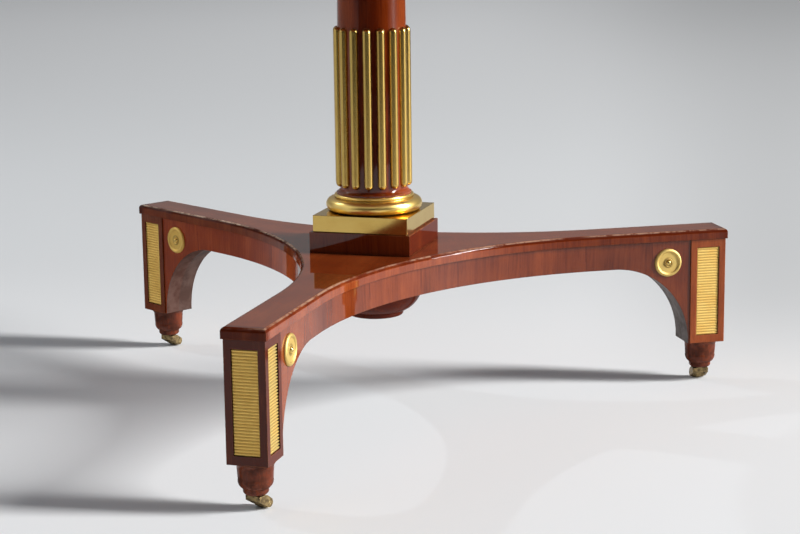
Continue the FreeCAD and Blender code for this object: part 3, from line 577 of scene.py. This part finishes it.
print("slab darkens from", round(ARM_ENDS[0], 3), "m out")

# %% [markdown]
# The column, its block, the boss under the platform and the turned capital have standing grain, so
# one finish with its place moved a little for each piece serves them all. The boss is dull and dark
# under the platform. The column is painted lighter towards its left and right edges as the camera sees
# it: painted light for the glow of the soft box on the right and a painted reflection of the fill on
# the left. The block is darker and duller on its right side, which faces the soft box.

# %% Column, plinth, boss and capital
STANDING_TONE = {
    "column_shaft": -0.36, "plinth_block": -0.16, "pendant_boss": -0.39, "capital": -0.2, "abacus": -0.2,
}
STANDING_LOG = 3.0
LOG_STEP = 0.4
STANDING_TINT = (1.0, 0.82, 0.5)
STANDING_FIGURE = 20.0
BOSS_GLOSS = 0.3
# Painted light: the way to the right as the camera sees the column.
LIT_SIDES_WAY = (0.957, 0.288, 0.0)
# How far out along that way the painted light starts and is full, and how much it lightens the wood.
COLUMN_PAINTED_LIGHT = [(0.006, 0.045, 0.46), (-0.012, -0.030, 0.48)]
RIGHT_FACE = (0.4, 0.8)
RIGHT_DARKER = 0.22
RIGHT_DULLER = 0.35

for number, (name, shift) in enumerate(STANDING_TONE.items()):
    finish, tree = new_finish("standing_grain_" + name)
    here = place_of(tree)
    board = moved(tree, here, STANDING_LOG + number, LOG_STEP * number, 0.0)
    tone = noise(tree, board, STANDING_FIGURE) * TONE_SPREAD + shift
    gloss = BOSS_GLOSS if name == "pendant_boss" else GLOSS
    if name == "column_shaft":
        # Painted light on both sides of the column.
        sideways = vector_math(tree, "DOT_PRODUCT", here, LIT_SIDES_WAY, "Value")
        for start, full, lighter in COLUMN_PAINTED_LIGHT:
            tone = tone + sideways.step(start, full) * lighter
    if name == "plinth_block":
        right_face = parts_of(tree, facing_of(tree))[0].step(*RIGHT_FACE)
        tone = tone - right_face * RIGHT_DARKER
        gloss = gloss - right_face * RIGHT_DULLER
    polish_wood(finish, board, ALONG_Z, tone, STANDING_TINT, gloss)
    lay_on(finish, name)
print("standing grain on", list(STANDING_TONE))

# %% [markdown]
# The bearer and the round top are boards of the same wood, so their grain lies flat and runs on for
# longer. The same function serves, with the grain stretched further along x, and the place is moved
# for each of them, because two boards never show the same figure.

# %% Bearer and top
LONG_GRAIN = (0.012, 1.0, 1.0)
LYING_LOG = 9.0
LYING_ASIDE = 0.7

for number, name in enumerate(["bearer", "table_top"]):
    finish, tree = new_finish("lying_grain_" + name)
    board = moved(tree, place_of(tree), LYING_LOG + number, LYING_ASIDE, 0.0)
    polish_wood(finish, board, LONG_GRAIN)
    lay_on(finish, name)
print("lying grain stretched", round(1.0 / LONG_GRAIN[0]), "times")

# %% [markdown]
# ## Gilt brass
# The mounts are cast brass, chased and fire-gilt: bright warm gold on the parts that a cloth reaches,
# brown where it cannot. A clean gold alone looks like foil, so a tarnish mask lays brown in the
# hollows, fine noise dulls and roughens the skin in clouds, and worn edges come out brighter.

# %% Gilding
GOLD = (0.840, 0.575, 0.165)
# Painted light: a less orange gold for faces that the soft box lights.
PALE_GOLD_FOR_LIT_FACES = (0.700, 0.520, 0.180)
GOLD_BRIGHT = (0.950, 0.740, 0.310)
GOLD_CLOUD = (0.720, 0.440, 0.100)
RING_GOLD = (0.980, 0.700, 0.220)
TARNISH = (0.160, 0.085, 0.024)
# Painted shadow: black for the shaded gaps at the ends of ribs.
GAP_SHADOW_BLACK = (0.020, 0.012, 0.006)
CLOUDS = (60.0, 4.0, 0.6)
CLOUD_RANGE = (0.35, 0.75)
SPECK_RANGE = (0.66, 0.80)
GILT_CORNER_REACH = 0.004
GILT_CORNER_SHADE = (0.35, 0.95)
EDGE_SHINE = 0.6
DIRT_EVERYWHERE = 0.65
DIRT_IN_CLOUDS = 0.6
CLOUD_ROUGH = 0.16
SPECK_ROUGH = 0.10
DIRT_ROUGH = 0.25
EDGE_SMOOTH = 0.05
GILT_RELIEF = 0.35


def gild(finish, place, dull, hollow=None, painted_gap_shadows=None, gold=GOLD, age=0.0, grain=900.0, depth=0.00004,
         cloud=0.45, corner=0.8, speck=0.25, uneven=1.0, edge_width=0.0007):
    """Lays gold with clouds, brown hollows, bright edges and any painted gap shadow. Dull is the
    roughness of the clean metal.
    """
    tree = finish.node_tree
    clouds = noise(tree, place, *CLOUDS)
    specks = noise(tree, place, grain, 2.0, 0.6)
    edges, rounded = worn_edges(tree, edge_width)
    colour = blend(tree, clouds.step(*CLOUD_RANGE) * cloud, gold, GOLD_CLOUD)
    colour = blend(tree, edges * EDGE_SHINE, colour, GOLD_BRIGHT)
    dirt = inner_corners(tree, GILT_CORNER_REACH).step(*GILT_CORNER_SHADE) * corner
    if hollow is not None:
        dirt = dirt.larger(hollow)
    dirt = dirt * (DIRT_EVERYWHERE + clouds * DIRT_IN_CLOUDS)
    dirt = (dirt + specks.step(*SPECK_RANGE) * speck + age).clamped()
    colour = blend(tree, dirt, colour, TARNISH)
    # Painted shadow in the gaps, where given.
    if painted_gap_shadows is not None:
        colour = blend(tree, painted_gap_shadows, colour, GAP_SHADOW_BLACK)
    mottle = (clouds - 0.5) * CLOUD_ROUGH + (specks - 0.5) * SPECK_ROUGH
    rough = dull + mottle * uneven + (dirt - age) * DIRT_ROUGH - edges * EDGE_SMOOTH
    normal = relief(tree, specks + clouds * 0.6, GILT_RELIEF, depth, rounded)
    return close_finish(finish, {
        "Base Color": colour, "Roughness": rough.clamped(), "Normal": normal, "Metallic": 1.0,
    })


print("gold", GOLD, "over tarnish", TARNISH)

# %% [markdown]
# The ribbed panels are let into the posts, and the grooves between their ribs hold dirt. The depth
# below the post's face is known exactly from the place, which is cleaner than an occlusion mask for
# grooves a millimetre deep: end panels are measured along the leg, side panels across it. The legs
# differ in dullness and in how much dirt is left. On the sides of the front leg, black gaps are
# painted at the inner ends of the ribs as painted shadow, longer in the grooves.

# %% Ribbed panels
panel_low, panel_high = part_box("panel_front_a")
PANEL_RECESS = SIDE_FACE - panel_high.x
GROOVE_TOP = PANEL_RECESS + 0.00050
GROOVE_BOTTOM = PANEL_RECESS + 0.00098
RIB_COUNT = 33
RIB_PITCH = (panel_high.z - panel_low.z) / RIB_COUNT
PANEL_INNER = -panel_high.y
GAP_ENDS = (PANEL_INNER + 0.0009, PANEL_INNER + 0.0001)
GAP_LONGER = 0.0042
GAP_PANEL = ("front", "side")
PANEL_CORNER = 0.1
# By leg and face: dirt in the grooves, dullness, width of the bright edges, gold and age. The gold is
# painted light: less orange on the faces that the soft box lights, warmer on faces in shade.
PANEL_FINISHES = {
    ("front", "end"): (0.24, 0.52, 0.0009, GOLD, 0.07),
    ("front", "side"): (0.75, 0.52, 0.0009, PALE_GOLD_FOR_LIT_FACES, 0.0),
    ("right", "end"): (0.0, 0.80, 0.0022, GOLD, 0.0),
    ("right", "side"): (0.20, 0.80, 0.0022, PALE_GOLD_FOR_LIT_FACES, 0.0),
    ("left", "end"): (0.10, 0.62, 0.0009, GOLD, 0.0),
    ("left", "side"): (0.10, 0.62, 0.0009, GOLD, 0.0),
}
PANEL_SIDES = {"end": ["end"], "side": ["a", "b"]}

for (leg, face), (groove_dirt, dull, edge_width, gold, age) in PANEL_FINISHES.items():
    finish, tree = new_finish("ribbed_panel_" + leg + "_" + face)
    place = turned_place(tree, LEG_ANGLES[leg])
    along_leg, across, up = parts_of(tree, place)
    sunk = END_FACE - along_leg if face == "end" else SIDE_FACE - abs(across)
    hollow = sunk.step(GROOVE_TOP, GROOVE_BOTTOM) * groove_dirt
    painted_gap_shadows = None
    # Painted shadow: black gaps at the inner ends of the front leg's side ribs.
    if (leg, face) == GAP_PANEL:
        count = (up - panel_low.z) / RIB_PITCH
        in_groove = abs(count - count.floored() - 0.5) * 2.0
        painted_gap_shadows = (along_leg - in_groove * GAP_LONGER).step(*GAP_ENDS)
    gild(finish, place, dull, hollow, painted_gap_shadows, gold, age, corner=PANEL_CORNER, edge_width=edge_width)
    lay_on(finish, *["panel_" + leg + "_" + side for side in PANEL_SIDES[face]])
print("rib spacing:", round(RIB_PITCH * 1000, 2), "mm")

# %% [markdown]
# The roundels on the arms are discs with a raised rim, a field and a small boss. Rim and field are
# matted, struck all over with a fine punch, which a finer and deeper noise shows, and the field is a
# little duller. The boss is burnished, with a ring of dirt round it that a cloth never reached.

# %% Roundels
BOSS_RISE = 0.0045
FIELD_RISE = (0.0022, 0.0015)
BOSS_EDGE = (0.0052, 0.0040)
DIRT_RING = (0.0042, 0.0050, 0.0060, 0.0076)
RIM_DULL = 0.56
FIELD_DULLER = 0.06
BOSS_BURNISH = 0.42
RING_DIRT = 0.45
# Painted light: the roundels of the left arm, in shade, get the warmer gold without age.
ROUNDEL_GOLD = {"front": (PALE_GOLD_FOR_LIT_FACES, 0.12), "right": (PALE_GOLD_FOR_LIT_FACES, 0.12), "left": (GOLD, 0.0)}
roundel_low, roundel_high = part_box("roundel_front_a")
arm_face = roundel_high.x - BOSS_RISE
to_leg = Matrix.Rotation(-math.radians(LEG_ANGLES["front"]), 3, "Z")
middle = to_leg @ ((roundel_low + roundel_high) / 2.0)

for leg, angle in LEG_ANGLES.items():
    finish, tree = new_finish("roundel_gilt_" + leg)
    place = turned_place(tree, angle)
    along_leg, across, up = parts_of(tree, place)
    field = (abs(across) - arm_face).step(*FIELD_RISE)
    off_centre = ((along_leg - middle.x) ** 2.0 + (up - middle.z) ** 2.0) ** 0.5
    dull = RIM_DULL + field * FIELD_DULLER - off_centre.step(*BOSS_EDGE) * BOSS_BURNISH
    dirt = off_centre.band(*DIRT_RING) * RING_DIRT
    gold, age = ROUNDEL_GOLD[leg]
    gild(finish, place, dull, dirt, None, gold, age, grain=1500.0, depth=0.00006, cloud=0.2, corner=0.6)
    lay_on(finish, "roundel_" + leg + "_a", "roundel_" + leg + "_b")
print("middle of a roundel:", round(middle.x, 4), "m out and", round(middle.z, 4), "m up")

# %% [markdown]
# The column's mounts differ in how far they were burnished. The square shell is nearly a mirror with
# a mottled skin, and its front is painted darker with tarnish colour, a painted reflection standing in
# for the dark reflection of the slab. The ring at the foot of the column is the brightest gold, the
# rods are browner with age, and the ring under the capital and the rim of the top are plainly
# polished.

# %% Column mounts and rim
FINE_DEPTH = 0.000008
# Painted reflection: tarnish colour on the shell's front stands in for a dark reflection.
SHELL_FRONT = (-0.4, -0.8)
SHELL_FRONT_PAINTED_REFLECTION = 0.26
COLUMN_MOUNTS = {
    "plinth_shell": {"dull": 0.10, "grain": 320.0, "speck": 0.22, "uneven": 0.4},
    "base_ring": {"dull": 0.30, "gold": RING_GOLD},
    "flute_rods": {"dull": 0.25, "age": 0.30},
    "necking_ring": {"dull": 0.20},
    "top_rim": {"dull": 0.20},
}

for name, own in COLUMN_MOUNTS.items():
    finish, tree = new_finish("gilt_" + name)
    settings = {"depth": FINE_DEPTH, "speck": 0.05, "uneven": 0.5, **own}
    if name == "plinth_shell":
        settings["age"] = parts_of(tree, facing_of(tree))[1].step(*SHELL_FRONT) * SHELL_FRONT_PAINTED_REFLECTION
    gild(finish, place_of(tree), **settings)
    lay_on(finish, name)
print("gilt mounts:", list(COLUMN_MOUNTS))

# %% [markdown]
# ## Casters and hidden iron
# The casters were never gilt. Their brass has gone dark and dull from the floor, and is rubbed bright
# along its edges. The iron tie rod, its nuts and washers and the screws sit out of sight, but a piece
# without a finish would stand out as soon as someone takes the table apart.

# %% Dark brass and iron
METAL_EDGE = 0.0006
METAL_DEPTH = 0.0001
METAL_RELIEF = 0.4
CLEAN_RANGE = (0.30, 0.68)
RUB_COVER = 0.7
RUB_SMOOTH = 0.1
RUB_BRIGHTER = 1.5
PITS_FINER = 9.0


def dull_metal(name, clean, dark, smooth, rough, scale):
    """Metal mottled from dark and rough to clean and smooth, with rubbed edges."""
    finish, tree = new_finish(name)
    here = place_of(tree)
    mottle = noise(tree, here, scale, 5.0, 0.65)
    pits = noise(tree, here, scale * PITS_FINER)
    edges, rounded = worn_edges(tree, METAL_EDGE)
    rubbed = tuple(RUB_BRIGHTER * part for part in clean)
    colour = blend(tree, mottle.step(*CLEAN_RANGE), dark, clean)
    colour = blend(tree, edges * RUB_COVER, colour, rubbed)
    roughness = rough - mottle * (rough - smooth) - edges * RUB_SMOOTH
    normal = relief(tree, mottle + pits * 0.5, METAL_RELIEF, METAL_DEPTH, rounded)
    return close_finish(finish, {
        "Base Color": colour, "Roughness": roughness.clamped(), "Normal": normal, "Metallic": 1.0,
    })


caster_finish = dull_metal("dark_caster_brass", clean=(0.36, 0.26, 0.12), dark=(0.08, 0.055, 0.03),
                           smooth=0.28, rough=0.6, scale=260.0)
iron_finish = dull_metal("forged_iron", clean=(0.17, 0.15, 0.14), dark=(0.05, 0.045, 0.04),
                         smooth=0.4, rough=0.75, scale=200.0)
casters = [name for name in pieces if name.startswith("caster_")]
lay_on(caster_finish, *casters)
lay_on(iron_finish, "tie_rod", "rod_nuts", "rod_washers", "bearer_screws")
print("caster pieces:", len(casters))

# %% [markdown]
# ## The studio
# The floor is a wide sheet that runs on past the picture on every side, so that no horizon shows.
# Near the table it is pale paper with slow clouds and a fine fibre. Its grey changes with the place,
# as painted light and shade of the way light falls off on a lit backdrop: darker behind the table and
# to the right, paler far behind. Beyond about two metres to the right it turns to dark studio floor,
# which keeps the table's reflections deep.

# %% Floor
VIEW_TURN = 16.76
FLOOR_REACH = 16.0
FLOOR_SEGMENTS = 128
PAPER_SCALE = 3.0
PAPER_CLOUDS = 0.08
FIBRE_SCALE = 900.0
FIBRE_DEPTH = 0.0002
FIBRE_RELIEF = 0.1
PAPER_ROUGH = 0.7
floor_mesh = bpy.data.meshes.new("studio_floor")
shape = bmesh.new()
bmesh.ops.create_circle(shape, cap_ends=True, segments=FLOOR_SEGMENTS, radius=FLOOR_REACH)
shape.to_mesh(floor_mesh)
shape.free()
floor = bpy.data.objects.new("studio_floor", floor_mesh)
bpy.context.scene.collection.objects.link(floor)

finish, tree = new_finish("pale_paper")
here = turned_place(tree, VIEW_TURN)
across, back, up = parts_of(tree, here)
sideways = across / (back.larger(-1.0) + 2.5)
right_side = sideways.step(0.09, 0.20) * back.step(-0.2, 0.7)
far_right = sideways.step(0.02, 0.16) * back.step(1.5, 6.0)
# Each row is a mask and the grey laid on there as painted light and shade, from just behind the table
# to the dark floor.
painted_floor_light = [
    (back.step(0.1, 1.0), 0.69),
    (back.step(2.2, 7.0), 0.90),
    (right_side * 0.55, 0.42),
    (far_right * 0.5, 0.42),
    (across.step(1.9, 3.2), 0.015),
]
tint = blend(tree, noise(tree, here, PAPER_SCALE, 3.0) * PAPER_CLOUDS, grey(0.80), grey(0.72))
for mask, shade in painted_floor_light:
    tint = blend(tree, mask, tint, grey(shade))
fibre = noise(tree, here, FIBRE_SCALE)
normal = relief(tree, fibre, FIBRE_RELIEF, FIBRE_DEPTH)
close_finish(finish, {"Base Color": tint, "Roughness": PAPER_ROUGH + fibre * 0.1, "Normal": normal})
floor_mesh.materials.append(finish)
print("floor reaches", FLOOR_REACH, "m")

# %% [markdown]
# Polished brass and wood show what stands round them more than they show themselves. In a real studio
# the side where the camera stands is dark, and black cards are set up to draw a dark line down each
# rod and column. A bent black card in front does that here. Only reflections see it: it is hidden
# from the camera, casts no shadow and takes no light from the floor.

# %% Black card in front
CARD_SPREAD = 50.0
CARD_MIDDLE = -66.0
CARD_STEPS = 24
# Distance from the column and height: flat on the floor, then upright.
CARD_PROFILE = [(1.9, 0.004), (3.3, 0.004), (3.3, 2.0)]

card_mesh = bpy.data.meshes.new("black_card")
shape = bmesh.new()
rows = []
for number in range(CARD_STEPS + 1):
    turn = math.radians(CARD_MIDDLE - CARD_SPREAD + 2.0 * CARD_SPREAD * number / CARD_STEPS)
    row = [(far * math.cos(turn), far * math.sin(turn), high) for far, high in CARD_PROFILE]
    rows.append([shape.verts.new(point) for point in row])
for one, two in zip(rows, rows[1:]):
    for low in range(len(CARD_PROFILE) - 1):
        shape.faces.new((one[low], two[low], two[low + 1], one[low + 1]))
shape.to_mesh(card_mesh)
shape.free()
card = bpy.data.objects.new("black_card", card_mesh)
bpy.context.scene.collection.objects.link(card)
card.visible_camera = False
card.visible_shadow = False
card.visible_diffuse = False
finish, tree = new_finish("black_felt")
felt = blend(tree, noise(tree, place_of(tree), 40.0), grey(0.018), (0.035, 0.034, 0.033))
close_finish(finish, {"Base Color": felt, "Roughness": 0.9})
card_mesh.materials.append(finish)
print("black card spreads", 2 * CARD_SPREAD, "degrees")

# %% [markdown]
# The light follows the shadows on the studio floor. A tall soft box on the right reaches from about 6
# to 42 degrees up: it keeps the posts' shadows crisp and softens those of the level arms. A small
# bluish lamp on the left draws faint arcs on the floor, and a wide, weak fill on the left lifts the
# shaded sides. Their power is set so that the paper near the table renders nearly white.

# %% Lamps
AIM_HEIGHT = 0.12


def lamp(name, plan_angle, rise, distance, wide, tall, power, colour):
    """A flat lamp that looks at the table from a plan angle and a height angle, in degrees."""
    data = bpy.data.lights.new(name, "AREA")
    data.shape = "RECTANGLE"
    data.size = wide
    data.size_y = tall
    data.energy = power
    data.color = colour
    turn = math.radians(plan_angle)
    lift = math.radians(rise)
    way = Vector((math.cos(lift) * math.cos(turn), math.cos(lift) * math.sin(turn), math.sin(lift)))
    light = bpy.data.objects.new(name, data)
    light.location = Vector((0.0, 0.0, AIM_HEIGHT)) + way * distance
    light.rotation_euler = way.to_track_quat("Z", "Y").to_euler()
    bpy.context.scene.collection.objects.link(light)
    return light


lamps = [
    lamp("soft_box", plan_angle=7.0, rise=24.0, distance=12.0, wide=1.7, tall=7.8, power=3000.0,
         colour=(0.985, 0.995, 1.0)),
    lamp("small_lamp", plan_angle=170.0, rise=40.0, distance=4.2, wide=0.05, tall=0.05, power=18.0,
         colour=(0.80, 0.91, 1.0)),
    lamp("left_fill", plan_angle=203.0, rise=20.0, distance=5.0, wide=6.0, tall=3.4, power=36.0,
         colour=(0.93, 0.97, 1.0)),
]
print("lamps:", [light.name for light in lamps])

# %% [markdown]
# The rest of the room is a world. As light it is dim, a little paler near the horizon and slightly
# blue, which tints the shadows. Reflections see a plain studio instead: dark in front, greyer behind
# the table and paler overhead.

# %% World
ROOM_HORIZON = (0.110, 0.117, 0.130)
ROOM_ABOVE = (0.093, 0.099, 0.110)
BACK_WAY = (-0.288, 0.957, 0.0)
MIRRORED = {"front": grey(0.10), "back": grey(0.25), "overhead": grey(0.50)}

world = bpy.data.worlds.new("studio")
world.use_nodes = True
bpy.context.scene.world = world
tree = world.node_tree
tree.nodes.clear()
way = add_node(tree, "ShaderNodeTexCoord", None, None, "Generated")
height = parts_of(tree, way)[2]
shade = blend(tree, abs(height).step(0.15, 0.60), ROOM_HORIZON, ROOM_ABOVE)
to_back = vector_math(tree, "DOT_PRODUCT", way, BACK_WAY, "Value")
backdrop = blend(tree, to_back.step(0.0, 0.7), MIRRORED["front"], MIRRORED["back"])
backdrop = blend(tree, height.step(0.35, 0.60), backdrop, MIRRORED["overhead"])
mirrored = add_node(tree, "ShaderNodeLightPath", None, None, "Is Glossy Ray")
room = blend(tree, mirrored, shade, backdrop)
glow = add_node(tree, "ShaderNodeBackground", None, {"Color": room, "Strength": 1.0}, "Background")
add_node(tree, "ShaderNodeOutputWorld", None, {"Surface": glow})
print("world at the horizon:", ROOM_HORIZON)

# %% [markdown]
# The camera stands to the right of the front leg, a little below table height, and looks down by
# twelve degrees through a long lens, which keeps the perspective gentle. Its place and its angles
# were fitted to the corners of the posts, the slab and the plinth.

# %% Camera
CAMERA_PLACE = (0.72995, -2.31841, 0.67596)
CAMERA_DOWN = 11.70
CAMERA_ROLL = -0.73
LENS = 91.10
SENSOR = 36.0
FAR_CLIP = 100.0

view = bpy.data.cameras.new("photo_view")
view.sensor_fit = "HORIZONTAL"
view.sensor_width = SENSOR
view.lens = LENS
view.clip_end = FAR_CLIP
camera = bpy.data.objects.new("photo_view", view)
turn = Matrix.Rotation(math.radians(VIEW_TURN), 4, "Z")
tilt = Matrix.Rotation(math.radians(90.0 - CAMERA_DOWN), 4, "X")
roll = Matrix.Rotation(math.radians(CAMERA_ROLL), 4, "Z")
camera.matrix_world = Matrix.Translation(CAMERA_PLACE) @ turn @ tilt @ roll
bpy.context.scene.collection.objects.link(camera)
bpy.context.scene.camera = camera
bpy.context.scene.view_settings.view_transform = "Standard"
print("camera with a", LENS, "mm lens")
